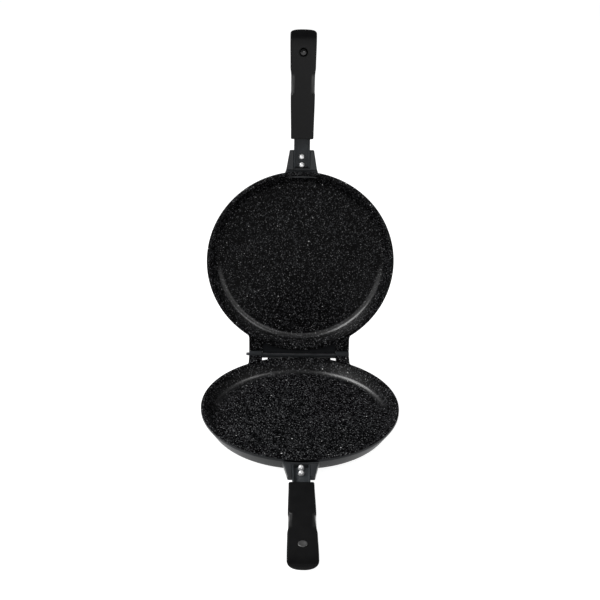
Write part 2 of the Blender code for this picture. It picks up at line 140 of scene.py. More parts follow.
def grid_faces(rows, cols, start=0):
    """Quads of a grid of points that closes on itself across its columns."""
    r, c = np.meshgrid(np.arange(rows - 1), np.arange(cols), indexing="ij")
    n = (c + 1) % cols
    corners = [r * cols + c, r * cols + n, (r + 1) * cols + n, (r + 1) * cols + c]
    return (np.stack(corners, axis=-1).reshape(-1, 4) + start).tolist()


def loft(sections):
    """Closed loops (rows, cols, 3) joined row by row, with a flat cap on the first and the last."""
    rows, cols = sections.shape[:2]
    faces = grid_faces(rows, cols)
    faces.append(list(range(cols))[::-1])
    faces.append(list(range((rows - 1) * cols, rows * cols)))
    return sections.reshape(-1, 3), faces


def revolve(profile, steps, along="Z", centre=(0.0, 0.0, 0.0)):
    """A profile of (radius, height) carried round Z or X, with both its ends on the axis.

    Point = (radius cos t, radius sin t, height) for t in one full turn. Each end is a fan on one
    point.
    """
    profile = np.asarray(profile, float)
    turn = np.linspace(0.0, 2.0 * np.pi, steps, endpoint=False)
    radius, height = profile[1:-1, 0], profile[1:-1, 1]
    ring = np.stack(
        [
            radius[:, None] * np.cos(turn),
            radius[:, None] * np.sin(turn),
            np.repeat(height[:, None], steps, axis=1),
        ],
        axis=-1,
    )
    ends = np.array([[0.0, 0.0, profile[0, 1]], [0.0, 0.0, profile[-1, 1]]])
    points = np.concatenate([ends, ring.reshape(-1, 3)])
    if along == "X":
        points = points[:, [2, 0, 1]]
    i = np.arange(steps)
    n = (i + 1) % steps
    last = 2 + (len(radius) - 1) * steps
    faces = grid_faces(len(radius), steps, 2)
    faces += np.stack([np.zeros(steps, int), n + 2, i + 2], axis=-1).tolist()
    faces += np.stack([np.ones(steps, int), i + last, n + last], axis=-1).tolist()
    return points + np.array(centre), faces


def arc(centre, radius, start, end, count):
    """Points on a circle from one angle to another, in degrees."""
    turn = np.radians(np.linspace(start, end, count))
    across = centre[0] + radius * np.cos(turn)
    return np.stack([across, centre[1] + radius * np.sin(turn)], axis=-1)


def bowl_corner(centre, radius, top, count):
    """The round corner from a flat bottom up to where a straight wall to top leaves it."""
    across, up = top[0] - centre[0], top[1] - centre[1]
    lean = math.atan2(up, across) - math.acos(radius / math.hypot(across, up))
    return arc(centre, radius, -90.0, math.degrees(lean), count)


def soft_loop(corners, reach, count):
    """A closed loop (..., m, 2) with each corner replaced by a parabola, from reach before it on.

    Point = (1-s)^2 (P + reach u) + 2 s (1-s) P + s^2 (P + reach v), where u and v point from the
    corner P to its two neighbours.
    """
    corners = np.asarray(corners, float)
    reach = np.broadcast_to(np.asarray(reach, float), corners.shape[:-1])[..., None]
    back = np.roll(corners, 1, axis=-2) - corners
    ahead = np.roll(corners, -1, axis=-2) - corners
    back = corners + back / np.linalg.norm(back, axis=-1, keepdims=True) * reach
    ahead = corners + ahead / np.linalg.norm(ahead, axis=-1, keepdims=True) * reach
    s = np.linspace(0.0, 1.0, count)[:, None]
    curve = (
        (1 - s) ** 2 * back[..., None, :]
        + 2 * s * (1 - s) * corners[..., None, :]
        + s**2 * ahead[..., None, :]
    )
    return curve.reshape(*corners.shape[:-2], -1, 2)


def anticlockwise(loop):
    """The loop (n, 2), turned round where it runs clockwise."""
    area = np.sum(loop[:, 0] * np.roll(loop[:, 1], -1) - np.roll(loop[:, 0], -1) * loop[:, 1])
    return loop if area > 0 else loop[::-1]


def inset(loop, amount):
    """The loop moved inwards along its corner normals. The loop runs anticlockwise."""
    tiny = 1e-9
    ahead = np.roll(loop, -1, axis=0) - loop
    back = loop - np.roll(loop, 1, axis=0)
    tangent = ahead / (np.linalg.norm(ahead, axis=1, keepdims=True) + tiny)
    tangent += back / (np.linalg.norm(back, axis=1, keepdims=True) + tiny)
    tangent /= np.linalg.norm(tangent, axis=1, keepdims=True) + tiny
    return loop + amount * np.stack([-tangent[:, 1], tangent[:, 0]], axis=-1)


def prism(loop, low, high, edge, along="X"):
    """A loop carried along X or Y from low to high with rounded ends.

    At edge (1 - cos t) from each end it is inset by edge (1 - sin t), for t over a quarter turn,
    and each flat cap is inset by 0.5 more.
    """
    loop = anticlockwise(loop)
    cap = edge + 0.5
    turn = np.linspace(0.0, np.pi / 2, 4)
    steps = [(edge * (1 - math.cos(t)), edge * (1 - math.sin(t))) for t in turn]
    rows = [(low, cap)] + [(low + go, shrink) for go, shrink in steps]
    rows += [(high - go, shrink) for go, shrink in steps[::-1]] + [(high, cap)]
    sections = []
    for place, shrink in rows:
        flat = inset(loop, shrink)
        where = np.full((len(flat), 1), place)
        order = [where, flat] if along == "X" else [flat[:, :1], where, flat[:, 1:]]
        sections.append(np.hstack(order))
    return loft(np.array(sections))


def piece(name, half, shape, material, nodes, masks=None):
    """Puts a shape of a half frame into the scene, facing outwards, on the body of its half.

    masks gives functions of the points by name. Their values, from 0 to 1, are kept with the
    points.
    """
    points, faces = shape
    mesh = mesh_of(name, PLACES[half](points), faces)
    corners = np.zeros(len(mesh.vertices) * 3, np.float32)
    mesh.vertices.foreach_get("co", corners)
    mesh.calc_loop_triangles()
    tris = np.zeros(len(mesh.loop_triangles) * 3, np.int32)
    mesh.loop_triangles.foreach_get("vertices", tris)
    a, b, c = np.moveaxis(corners.reshape(-1, 3)[tris.reshape(-1, 3)].astype(float), 1, 0)
    if np.sum(a * np.cross(b, c)) < 0:
        mesh.flip_normals()
    obj = bpy.data.objects.new(name, mesh)
    bpy.context.scene.collection.objects.link(obj)
    mesh.materials.append(material)
    for label, mask in (masks or {}).items():
        held = mesh.attributes.new(label, "FLOAT", "POINT")
        held.data.foreach_set("value", mask(points).astype(np.float32))
    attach(obj, half)
    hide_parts(*nodes)
    return obj


def carve(obj, shapes, half):
    """Cuts shapes of the same half frame out of a piece and keeps the result as its mesh."""
    cutters = []
    for number, (points, faces) in enumerate(shapes):
        mesh = bpy.data.meshes.new(f"cutter_{number}")
        mesh.from_pydata(PLACES[half](points).tolist(), [], faces)
        cutter = bpy.data.objects.new(f"cutter_{number}", mesh)
        bpy.context.scene.collection.objects.link(cutter)
        step = obj.modifiers.new("cut", "BOOLEAN")
        step.operation = "DIFFERENCE"
        step.solver = "EXACT"
        step.object = cutter
        cutters.append(cutter)
    bpy.context.view_layer.update()
    graph = bpy.context.evaluated_depsgraph_get()
    cut = bpy.data.meshes.new_from_object(obj.evaluated_get(graph))
    obj.modifiers.clear()
    obj.data = cut
    soften(cut)
    for cutter in cutters:
        bpy.data.objects.remove(cutter, do_unlink=True)


# Materials


def new_group(name, inputs, outputs):
    """An empty node group with named inputs (name, kind, default) and outputs (name, kind)."""
    group = bpy.data.node_groups.new(name, "ShaderNodeTree")
    for label, kind, default in inputs:
        socket = group.interface.new_socket(label, in_out="INPUT", socket_type=kind)
        if default is not None:
            socket.default_value = default
    for label, kind in outputs:
        group.interface.new_socket(label, in_out="OUTPUT", socket_type=kind)
    return group, group.nodes.new("NodeGroupInput"), group.nodes.new("NodeGroupOutput")


def add(tree, kind, settings=None, **values):
    """A node with its properties in settings and its inputs by number (i0=...), plain or linked."""
    node = tree.nodes.new(kind)
    for key, value in (settings or {}).items():
        setattr(node, key, value)
    for key, value in values.items():
        socket = node.inputs[int(key[1:])]
        if isinstance(value, bpy.types.NodeSocket):
            tree.links.new(value, socket)
        else:
            socket.default_value = value
    return node


def calculate(tree, operation, a, b, c=0.0, clamp=False):
    """The output of a Math node on two values, or on three for MULTIPLY_ADD."""
    settings = {"operation": operation, "use_clamp": clamp}
    return add(tree, "ShaderNodeMath", settings, i0=a, i1=b, i2=c).outputs[0]


def speckle_group():
    """Sprayed dots: in each cell one dot, kept by chance, with its own size and tone.

    Each dot is round but for a warp of about 0.5 mm. Its reach is 0.25 to 1 of Size, its edge fades
    over 0.06 of a cell, and its tone runs from 0.2 to 1.
    """
    inputs = [
        ("Vector", "NodeSocketVector", None),
        ("Cells", "NodeSocketFloat", 300.0),
        ("Size", "NodeSocketFloat", 0.3),
        ("Share", "NodeSocketFloat", 0.5),
    ]
    group, start, end = new_group("sprayed_speckles", inputs, [("Mask", "NodeSocketFloat")])
    where = start.outputs["Vector"]
    warp = add(group, "ShaderNodeTexNoise", i0=where, i2=900.0, i3=1.0).outputs["Color"]
    pull = (0.0009, 0.0009, 0.0009)
    bent = add(
        group, "ShaderNodeVectorMath", {"operation": "MULTIPLY_ADD"}, i0=warp, i1=pull, i2=where
    )
    cells = add(group, "ShaderNodeTexVoronoi", i0=bent.outputs[0], i2=start.outputs["Cells"])
    chance = add(group, "ShaderNodeSeparateColor", i0=cells.outputs["Color"])
    reach = calculate(group, "MULTIPLY_ADD", chance.outputs[0], 0.75, 0.25)
    reach = calculate(group, "MULTIPLY", reach, start.outputs["Size"])
    inside = calculate(group, "SUBTRACT", reach, cells.outputs["Distance"])
    inside = calculate(group, "DIVIDE", inside, 0.06, clamp=True)
    kept = calculate(group, "LESS_THAN", chance.outputs[1], start.outputs["Share"])
    tone = calculate(group, "MULTIPLY_ADD", chance.outputs[2], 0.8, 0.2)
    mask = calculate(group, "MULTIPLY", calculate(group, "MULTIPLY", inside, kept), tone)
    group.links.new(mask, end.inputs["Mask"])
    return group


def grain_group():
    """Fine surface grain: two scales of noise, each round 0.5."""
    inputs = [
        ("Vector", "NodeSocketVector", None),
        ("Fine", "NodeSocketFloat", 1500.0),
        ("Coarse", "NodeSocketFloat", 40.0),
    ]
    outputs = [("Fine", "NodeSocketFloat"), ("Coarse", "NodeSocketFloat")]
    group, start, end = new_group("surface_grain", inputs, outputs)
    for label, detail in (("Fine", 2.0), ("Coarse", 4.0)):
        scale = start.outputs[label]
        noise = add(
            group, "ShaderNodeTexNoise", i0=start.outputs["Vector"], i2=scale, i3=detail
        )
        group.links.new(noise.outputs[0], end.inputs[label])
    return group


def placed(tree, group, vector, **values):
    """A node group put into a tree, with its inputs by name."""
    node = tree.nodes.new("ShaderNodeGroup")
    node.node_tree = group
    tree.links.new(vector, node.inputs["Vector"])
    for key, value in values.items():
        node.inputs[key].default_value = value
    return node


def ramp(tree, value, low, high):
    """A colour ramp between two (place, grey or colour) stops."""
    node = add(tree, "ShaderNodeValToRGB", i0=value)
    for element, (place, colour) in zip(node.color_ramp.elements, (low, high)):
        colour = (colour, colour, colour) if isinstance(colour, float) else colour
        element.position = place
        element.color = (*colour, 1.0)
    return node.outputs[0]


def blend_colour(tree, factor, a, b):
    """The colour a mixed with b by the factor. The factor and a are sockets, and b is a colour."""
    node = add(tree, "ShaderNodeMix", {"data_type": "RGBA", "blend_type": "MIX"})
    tree.links.new(factor, node.inputs[0])
    tree.links.new(a, node.inputs[6])
    node.inputs[7].default_value = (*b, 1.0)
    return node.outputs[2]


def finish(name, metallic=0.0, specular=0.5, coat_roughness=None):
    """A material with its shader's plain numbers set, its tree, its shader and its coordinates.

    With a coat_roughness it has a clear coat, whose weight is the mask rubbed of each piece, or 0
    on a piece without it.
    """
    material = bpy.data.materials.new(name)
    material.use_nodes = True
    tree = material.node_tree
    shader = tree.nodes["Principled BSDF"]
    shader.inputs["Metallic"].default_value = metallic
    shader.inputs["Specular IOR Level"].default_value = specular
    if coat_roughness is not None:
        shader.inputs["Coat Roughness"].default_value = coat_roughness
        tree.links.new(attribute(tree, "rubbed"), shader.inputs["Coat Weight"])
    coordinates = tree.nodes.new("ShaderNodeTexCoord").outputs["Object"]
    return material, tree, shader, coordinates


def attribute(tree, name):
    """A piece's own mask, or 0 on a piece without it."""
    return add(tree, "ShaderNodeAttribute", {"attribute_name": name}).outputs["Fac"]


def bump(tree, shader, height, distance):
    """Relief of a height between 0 and 1, over a distance in metres."""
    node = add(tree, "ShaderNodeBump", i0=1.0, i1=distance)
    tree.links.new(height, node.inputs["Height"])
    tree.links.new(node.outputs[0], shader.inputs["Normal"])


def make_marble(speckles, grain):
    """Black non-stick coating with sprayed white and grey dots of three sizes."""
    material, tree, shader, where = finish(
        "marble_coating", specular=0.036, coat_roughness=0.36
    )
    shader.inputs["Coat IOR"].default_value = 1.7
    rough = placed(tree, grain, where, Fine=900.0, Coarse=60.0)
    cloud = rough.outputs["Coarse"]
    colour = ramp(tree, cloud, (0.35, (0.0016, 0.0016, 0.0018)), (0.75, (0.0030, 0.0030, 0.0033)))
    # Dust, dots and blots, each with its own turn, so that their cells don't line up
    sprays = (
        ((0.62, 0.91, 0.37), 520.0, 0.66, 0.90, (0.044, 0.045, 0.048)),
        ((1.30, 0.20, 2.10), 470.0, 0.42, 0.75, (0.168, 0.169, 0.174)),
        ((2.40, 1.10, 0.60), 210.0, 0.20, 0.20, (0.70, 0.70, 0.70)),
    )
    for turn, cells, size, share, tone in sprays:
        turned = add(tree, "ShaderNodeMapping", i0=where)
        turned.inputs["Rotation"].default_value = turn
        turned.inputs["Location"].default_value = tuple(0.4 * angle for angle in turn)
        spray = placed(tree, speckles, turned.outputs[0], Cells=cells, Size=size, Share=share)
        colour = blend_colour(tree, spray.outputs[0], colour, tone)
    tree.links.new(colour, shader.inputs["Base Color"])
    tree.links.new(ramp(tree, cloud, (0.3, 0.20), (0.7, 0.26)), shader.inputs["Roughness"])
    bump(tree, shader, rough.outputs["Fine"], 0.00003)
    return material


def make_outer_coating(grain):
    """Charcoal coating outside the castings, with a fine flake. The mask recess darkens it with
    painted shade.
    """
    material, tree, shader, where = finish(
        "charcoal_coating", specular=0.08, coat_roughness=0.36
    )
    rough = placed(tree, grain, where, Fine=1400.0, Coarse=55.0)
    cloud, fine = rough.outputs["Coarse"], rough.outputs["Fine"]
    colour = ramp(tree, cloud, (0.3, (0.0222, 0.0240, 0.0262)), (0.7, (0.0262, 0.0280, 0.0302)))
    flake = ramp(tree, fine, (0.60, 0.0), (0.72, 0.5))
    colour = blend_colour(tree, flake, colour, (0.06, 0.062, 0.066))
    # Painted shade: where the mask recess is 1 the colour goes near black, on the wall over the lug
    # and on the hook's web.
    colour = blend_colour(tree, attribute(tree, "recess"), colour, (0.002, 0.002, 0.0025))
    tree.links.new(colour, shader.inputs["Base Color"])
    tree.links.new(ramp(tree, cloud, (0.3, 0.33), (0.7, 0.37)), shader.inputs["Roughness"])
    bump(tree, shader, fine, 0.00004)
    return material


def make_moulded(grain):
    """Matt black moulded plastic with a faint flow pattern."""
    material, tree, shader, where = finish(
        "matt_black_moulding", specular=0.085, coat_roughness=0.34
    )
    rough = placed(tree, grain, where, Fine=1800.0, Coarse=90.0)
    flow = rough.outputs["Coarse"]
    colour = ramp(tree, flow, (0.3, (0.0028, 0.0028, 0.0031)), (0.75, (0.0042, 0.0042, 0.0045)))
    tree.links.new(colour, shader.inputs["Base Color"])
    tree.links.new(ramp(tree, flow, (0.3, 0.36), (0.7, 0.46)), shader.inputs["Roughness"])
    bump(tree, shader, rough.outputs["Fine"], 0.00006)
    return material


def make_metal(name, grain, dark, light, roughness, metallic=1.0, specular=0.5, relief=0.00002):
    """A bare or coated metal with a fine tumbled grain."""
    material, tree, shader, where = finish(name, metallic=metallic, specular=specular)
    rough = placed(tree, grain, where, Fine=1200.0, Coarse=120.0)
    cloud, fine = rough.outputs["Coarse"], rough.outputs["Fine"]
    tree.links.new(ramp(tree, cloud, (0.3, dark), (0.7, light)), shader.inputs["Base Color"])
    ends = [(place, value) for place, value in zip((0.3, 0.7), roughness)]
    tree.links.new(ramp(tree, fine, *ends), shader.inputs["Roughness"])
    bump(tree, shader, fine, relief)
    return material


speckles = speckle_group()
grain = grain_group()
marble = make_marble(speckles, grain)
charcoal = make_outer_coating(grain)
moulded = make_moulded(grain)
shank_steel = make_metal(
    "coated_shank_steel",
    grain,
    dark=(0.024, 0.027, 0.030),
    light=(0.038, 0.042, 0.046),
    roughness=(0.34, 0.46),
    metallic=0.0,
    specular=0.18,
)
pin_steel = make_metal(
    "drawn_pin_steel",
    grain,
    dark=(0.055, 0.056, 0.06),
    light=(0.10, 0.10, 0.105),
    roughness=(0.28, 0.4),
)
rivet_metal = make_metal(
    "bright_rivet_metal",
    grain,
    dark=(0.84, 0.84, 0.85),
    light=(0.90, 0.90, 0.90),
    roughness=(0.3, 0.4),
    metallic=0.6,
    relief=0.000004,
)
magnet_metal = make_metal(
    "plated_magnet",
    grain,
    dark=(0.12, 0.12, 0.12),
    light=(0.18, 0.18, 0.18),
    roughness=(0.35, 0.5),
    metallic=0.9,
    relief=0.000008,
)
keeper_steel = make_metal(
    "domed_keeper_steel",
    grain,
    dark=(0.03, 0.03, 0.031),
    light=(0.05, 0.05, 0.05),
    roughness=(0.16, 0.24),
    relief=0.000002,
)
zinc = make_metal(
    "zinc_plated_screw",
    grain,
    dark=(0.42, 0.42, 0.40),
    light=(0.58, 0.57, 0.54),
    roughness=(0.25, 0.4),
)


# Pans


def cavity_profile(drop):
    """The cooking surface from the rim to the centre, lowered by drop along its normal."""
    wall_top = (WALL_TOP[0] + drop * 0.91, WALL_TOP[1] - drop * 0.42)
    corner = bowl_corner((CORNER_AT, CORNER - CAVITY), CORNER + drop, wall_top, 14)
    lip = arc(LIP_AT, LIP - drop, 90.0, 155.0, 6)
    floor = np.array([[radius, -CAVITY - drop] for radius in (70.0, 35.0, 0.0)])
    return np.concatenate([lip, corner[::-1], floor])


def casting():
    """The outside of a pan: flat base, round corner, drafted wall and rim band.

    The base has shallow turned rings: at a radius r it lies 0.25 + 0.05 cos(pi r) over the foot.
    """
    radius = np.linspace(4.0, 98.0, 95)
    rings = np.stack([radius, -DEPTH + 0.25 + 0.05 * np.cos(radius * math.pi)], axis=-1)
    foot = np.array([[98.6, -DEPTH], [99.2, -DEPTH]])
    corner = bowl_corner((106.0, 5.0 - DEPTH), 5.0, (RIM, -3.2), 8)
    band = np.array([[RIM - 0.25, -3.6], [RIM, -3.1], [RIM, -0.7]])
    edge = arc((RIM - RIM_ROUND, -0.7), RIM_ROUND, 0.0, 55.0, 4)
    middle = [[0.0, -DEPTH + 0.3]]
    hidden = cavity_profile(0.2)
    return revolve(np.concatenate([middle, rings, foot, corner, band, edge, hidden]), PAN_STEPS)


def coating():
    """The coated cooking surface, from over the rim's outer edge to the centre of the floor."""
    edge = arc((RIM - RIM_ROUND, -0.6), RIM_ROUND, 10.0, 90.0, 5)
    flat = np.array([[118.0, 0.0]])
    top = np.concatenate([edge, flat, cavity_profile(0.0)])
    under = np.concatenate([[[RIM - 0.5, -0.75]], cavity_profile(0.45)])
    return revolve(np.concatenate([under[::-1], top]), PAN_STEPS)


def painted_shade_over_lug(points):
    """Painted shade: 1 on the wall over the lug, where |x| < 18.5, y < 0 and -4 < z < -0.2, and 0
    beside it.
    """
    x, y, z = np.moveaxis(points, -1, 0)
    across = 1.0 - smooth(np.abs(x), 18.5, 21.0)
    return across * (y < 0.0) * (z > -4.0) * (z < -0.2) * 1.0


def rubbed_corner(points):
    """1 on the cavity's round corner at the hinge end, 0.6 in its middle, and 0 elsewhere."""
    x, y, z = np.moveaxis(points, -1, 0)
    radius = np.hypot(x, y)
    ring = smooth(radius, 101.0, 104.5) * (1.0 - smooth(radius, 107.0, 109.0))
    sides = 0.6 + 0.4 * smooth(np.abs(x), 10.0, 50.0)
    return ring * sides * smooth(y, 0.0, 45.0) * (z < -5.0)


def rubbed_lug(points):
    """An even half gloss over the lug, which hands polish."""
    return np.full(len(points), 0.4)


def painted_shade_over_web(points):
    """Painted shade: 0.85 on the hook's web, in the shade of the pan, and 0 where it turns round
    the pin.
    """
    return 0.85 * (1.0 - smooth(points[:, 1], 120.6, 121.8))


def lug():
    """The handle lug: a tapered tray with a channel for the shank and a keel under it.

    Its half width runs straight from the root to the tip, where it shrinks by a quarter round. The
    top dips by 1.5 in a round groove of half width 0.95 across it, at GROOVE.
    """
    turn = np.linspace(0.0, np.pi / 2, 5)
    groove = GROOVE + np.linspace(0.9, -0.9, 7)
    after = [-122.2, -123.3, -123.4, -126.0, -131.0, -138.0, -144.0]
    plain = np.concatenate([[LUG_ROOT, -117.0, -119.6], groove, after])
    y = np.concatenate([plain, LUG_TIP + LUG_ROUND * (1 - np.sin(turn)), [LUG_TIP]])
    shrink = np.concatenate([np.zeros(len(plain)), LUG_ROUND * (1 - np.cos(turn)), [2.0]])
    along = (y - LUG_ROOT) / (LUG_TIP - LUG_ROOT)
    flare = 0.6 * np.clip((y + 121.5) / 2.5, 0.0, 1.0) ** 2
    half_width = LUG_ROOT_HALF + (LUG_TIP_HALF - LUG_ROOT_HALF) * along + flare - shrink
    dip = 1.5 * np.sqrt(np.clip(1.0 - ((y - GROOVE) / 0.95) ** 2, 0.0, 1.0))
    top = -3.2 - 0.9 * shrink - dip
    wing = -11.6 + 2.4 * along + 0.5 * shrink
    keel_half = 12.6 - 3.3 * along - shrink
    keel = -12.5 + shrink
    side = 10.2 + 0.15 * shrink
    floor = np.where(y > TRAY_END, top - 0.02, -8.7)
    edges = [
        (half_width, top),
        (half_width, wing),
        (keel_half + 0.8, wing),
        (keel_half, keel),
        (-keel_half, keel),
        (-keel_half - 0.8, wing),
        (-half_width, wing),
        (-half_width, top),
        (-side, top),
        (-side, floor),
        (side, floor),
        (side, top),
    ]
    corners = np.stack([np.stack(pair, axis=-1) for pair in edges], axis=1)
    reach = np.array([1.1, 1.1, 0.5, 1.0, 1.0, 0.5, 1.1, 1.1, 0.8, 0.01, 0.01, 0.8])
    loop = soft_loop(corners, reach, 5)
    where = np.repeat(y[:, None, None], loop.shape[1], axis=1)
    return loft(np.concatenate([loop[..., :1], where, loop[..., 1:]], axis=-1))


# Hinge


def wall_y(x, z):
    """How far out along Y the middle of the pan's wall lies, at x and at the height z."""
    return np.sqrt((117.6 + 0.43 * z) ** 2 - x**2)


def arm(side, reach, low_root, low_tip, near):
    """A hinge arm carried along Y, from the middle of the wall to reach, with its top level.

    Point = (x, (1-u) wall_y(x, z) + u reach, z) for u from 0 to 1. The outer side leaves the rim in
    a fillet of radius f: x = EAR_OUT + f - sqrt(f^2 - (yc - y)^2) where y is less than yc.
    """
    fillet, edge = 8.0, 0.8
    centre = math.sqrt((RIM + fillet) ** 2 - (EAR_OUT + fillet) ** 2)
    start = float(wall_y(EAR_OUT, 0.0))
    turn = np.linspace(0.0, np.pi / 2, 5)
    soft = edge / (reach - start)
    plain = np.concatenate([np.linspace(0.0, 0.3, 10), np.linspace(0.36, 0.9, 6)])
    u = np.concatenate([plain, 1.0 - soft + soft * np.sin(turn), [1.0]])
    shrink = np.concatenate([np.zeros(len(plain)), edge * (1 - np.cos(turn)), [2.0 * edge]])
    y = start + (reach - start) * u
    curved = np.clip(centre - y, 0.0, fillet * 0.999)
    outer = EAR_OUT + fillet - np.sqrt(fillet**2 - curved**2)
    outer = np.minimum(outer, EAR_OUT + 3.4) - shrink
    inner = near + shrink
    high = -shrink
    low = low_root + (low_tip - low_root) * u + shrink
    edges = ((outer, high), (inner, high), (inner, low), (outer, low))
    loop = soft_loop(np.stack([np.stack(p, axis=-1) for p in edges], axis=1), edge, 5)
    x, z = loop[..., 0], loop[..., 1]
    where = (1.0 - u[:, None]) * wall_y(x, z) + u[:, None] * reach
    return loft(np.stack([x * side, where, z], axis=-1))


def follow_wall(loop, half_width, edge):
    """A side view (y, z) carried along X, whose front never comes nearer than the wall's middle.

    Over the last edge of each end it is inset by edge (1 - sin t), as in a prism.
    """
    loop = anticlockwise(loop)
    turn = np.linspace(0.0, np.pi / 2, 5)[::-1]
    plain = np.linspace(0.0, half_width - 2.0 * edge, 12)
    x = np.concatenate([plain, half_width - edge * (1.0 - np.cos(turn)), [half_width]])
    shrink = np.concatenate([np.zeros(len(plain)), edge * (1.0 - np.sin(turn)), [2.0 * edge]])
    x = np.concatenate([-x[:0:-1], x])
    shrink = np.concatenate([shrink[:0:-1], shrink])
    rows = []
    for place, amount in zip(x, shrink):
        flat = inset(loop, amount)
        y = np.maximum(flat[:, 0], wall_y(place, flat[:, 1]))
        rows.append(np.stack([np.full(len(flat), place), y, flat[:, 1]], axis=-1))
    return loft(np.array(rows))


def knuckle_loop():
    """Side view of a knuckle with its heel: a circle round the axis, and the rib's flat rest."""
    slope = OPEN - math.pi / 2
    ring = arc((HINGE_Y, HINGE_Z), 4.2, 200.0, 90.0 - math.degrees(slope), 18)
    heel = ring[-1] + 9.0 * np.array([math.cos(slope), -math.sin(slope)])
    tip = [heel - [0.3, 0.0], heel - [0.0, 0.4]]
    low = arc((heel[0] - 1.2, -2.6), 1.2, 0.0, -80.0, 4)
    return np.concatenate([ring, tip, low, [[HINGE_Y + 2.6, -7.4], [116.0, -8.4]]])


def apron_loop():
    """Side view of the apron that fills the space between the ears under the hook."""
    corners = [(104.0, -1.8), (120.4, -1.8), (120.4, -4.8), (116.4, -8.5), (104.0, -8.5)]
    return soft_loop(np.array(corners), 0.7, 4)


def hook_loop():
    """Side view of the web and the hook that turns under the pin and up before it."""
    axis = (HINGE_Y, HINGE_Z)
    inner = arc(axis, 2.3, 231.5, 470.0, 28)
    outer = arc(axis, 5.0, 96.0, -105.0, 28)
    return np.concatenate([[[104.0, -1.6]], inner, outer, [[104.0, -7.5]]])


def pin():
    """The hinge pin with chamfered ends. It stands out at the left."""
    low, high = -EAR_OUT - 3.8, EAR_OUT - 0.6
    tip, bevel = PIN_RADIUS - 0.5, PIN_RADIUS - 0.15
    profile = [(0.0, low), (tip, low), (bevel, low + 0.2), (PIN_RADIUS, low + 0.6)]
    profile += [(PIN_RADIUS, high - 0.6), (bevel, high - 0.2), (tip, high), (0.0, high)]
    return revolve(profile, 40, "X", (0.0, HINGE_Y, HINGE_Z))


# Handle parts


def shank_loop():
    """Section of the U channel: sheet of 1.5 with round bends."""
    half, thick = 9.9, 1.5
    top, bottom = -2.6, -8.4
    inner, floor = half - thick, bottom + thick
    corners = [(-half, top), (-half, bottom), (half, bottom), (half, top)]
    corners += [(inner, top), (inner, floor), (-inner, floor), (-inner, top)]
    return soft_loop(np.array(corners), np.array([0.3, 2.0, 2.0, 0.3, 0.3, 0.8, 0.8, 0.3]), 6)


def rivet(y):
    """A rivet with a domed head in the channel and a flatter tail under the keel."""
    seat, foot = -6.6, -12.8
    turn = np.linspace(0.0, np.pi / 2, 12)
    head = np.stack([3.4 * np.cos(turn) ** 0.8, seat + 0.3 + 4.3 * np.sin(turn)], axis=-1)
    tail = np.stack([3.2 * np.cos(turn), foot - 0.2 - 1.4 * np.sin(turn)], axis=-1)
    shank = np.array([[3.3, seat], [2.0, seat], [2.0, foot], [3.1, foot]])
    profile = np.concatenate([head[::-1], shank, tail])
    profile[0, 0] = profile[-1, 0] = 0.0
    return revolve(profile[::-1], 40, centre=(0.0, y, 0.0))


def grip_places():
    """Where along Y a grip has its sections: close at both ends and along the thumb scoop."""
    turn = np.linspace(0.0, 1.0, 6) * np.pi / 2
    base = GRIP_BASE - 1.2 * (1.0 - np.sin(turn))
    body = [np.linspace(-162.5, -212.0, 36), np.linspace(-213.0, -245.0, 49)]
    body.append(np.linspace(-246.0, -278.0, 26))
    turn = np.linspace(0.0, 1.0, 26) * np.pi / 2
    tip = GRIP_TIP + 13.0 * (1.0 - np.sin(turn)) ** 1.15 + 0.04
    y = np.concatenate([base[1:], *body, tip])
    return np.unique(np.round(y, 4))[::-1]


def grip():
    """A half grip carried along Y.

    Each section is a flat face, an edge of GRIP_EDGE that the thumb scoop widens to a slope, and a
    belly with the points (half cos^0.8 a, start - (start - belly) sin^1.15 a). The face rolls off
    at the tip in a quarter round, and the tip's half width is scaled by (1 - (1 - t)^n)^(1/n).
    """
    y = grip_places()
    reach = -y
    half = 14.0 + 0.8 * smooth(reach, 161.0, 214.0) - 0.25 * smooth(reach, 214.0, 219.0)
    half += 0.9 * smooth(reach, 238.0, 248.0) + 0.45 * smooth(reach, 248.0, 278.0)
    rest = np.clip(GRIP_EDGE - (GRIP_BASE - y), 0.0, GRIP_EDGE)
    half += np.sqrt(GRIP_EDGE**2 - rest**2) - GRIP_EDGE
    tip_length, power = 6.0, 3.6
    tip = np.clip((y - GRIP_TIP) / tip_length, 0.0, 1.0)
    half *= (1.0 - (1.0 - tip) ** power) ** (1.0 / power)
    start = rolled(1.2 - (GRIP_BASE - y), 1.2) * 1.2
    face = -0.1 - 8.0 * rolled(GRIP_TIP + 12.0 - y, 12.0) - start
    swell = 0.8 * np.sin(np.pi * (y - GRIP_BASE) / (GRIP_TIP - GRIP_BASE))
    belly = -12.4 - swell + 2.0 * rolled(GRIP_TIP + 4.0 - y, 4.0) + start
    widest = face + (belly - face) * 0.36
    scoop = 3.9 * smooth(reach, 213.5, 216.5) * (1.0 - smooth(reach, 217.5, 241.0))
    edge = np.minimum.reduce([np.full_like(y, GRIP_EDGE), 0.5 * half, 0.3 * (face - belly)])
    flat = half - edge - scoop
    fall = np.minimum(edge + 0.8 * scoop, face - widest)
    low = face - fall
    half, face, belly, flat, fall, low = (
        values[:, None] for values in (half, face, belly, flat, fall, low)
    )
    spread = np.linspace(0.0, 1.0, 13)
    bend = np.linspace(0.0, np.pi / 2, 9)[1:]
    under = np.linspace(0.0, np.pi / 2, 19)[1:]
    under_x = half * np.cos(under) ** 0.8
    under_x[:, -1] = 0.0
    x = np.concatenate([flat * spread, flat + (half - flat) * np.sin(bend), under_x], axis=1)
    z = np.concatenate(
        [
            face * np.ones_like(spread),
            face - fall * (1.0 - np.cos(bend)),
            low - (low - belly) * np.sin(under) ** 1.15,
        ],
        axis=1,
    )
    loop_x = np.concatenate([x, -x[:, -2:0:-1]], axis=1)
    loop_z = np.concatenate([z, z[:, -2:0:-1]], axis=1)
    where = np.repeat(y[:, None], loop_x.shape[1], axis=1)
    return loft(np.stack([loop_x, where, loop_z], axis=-1))


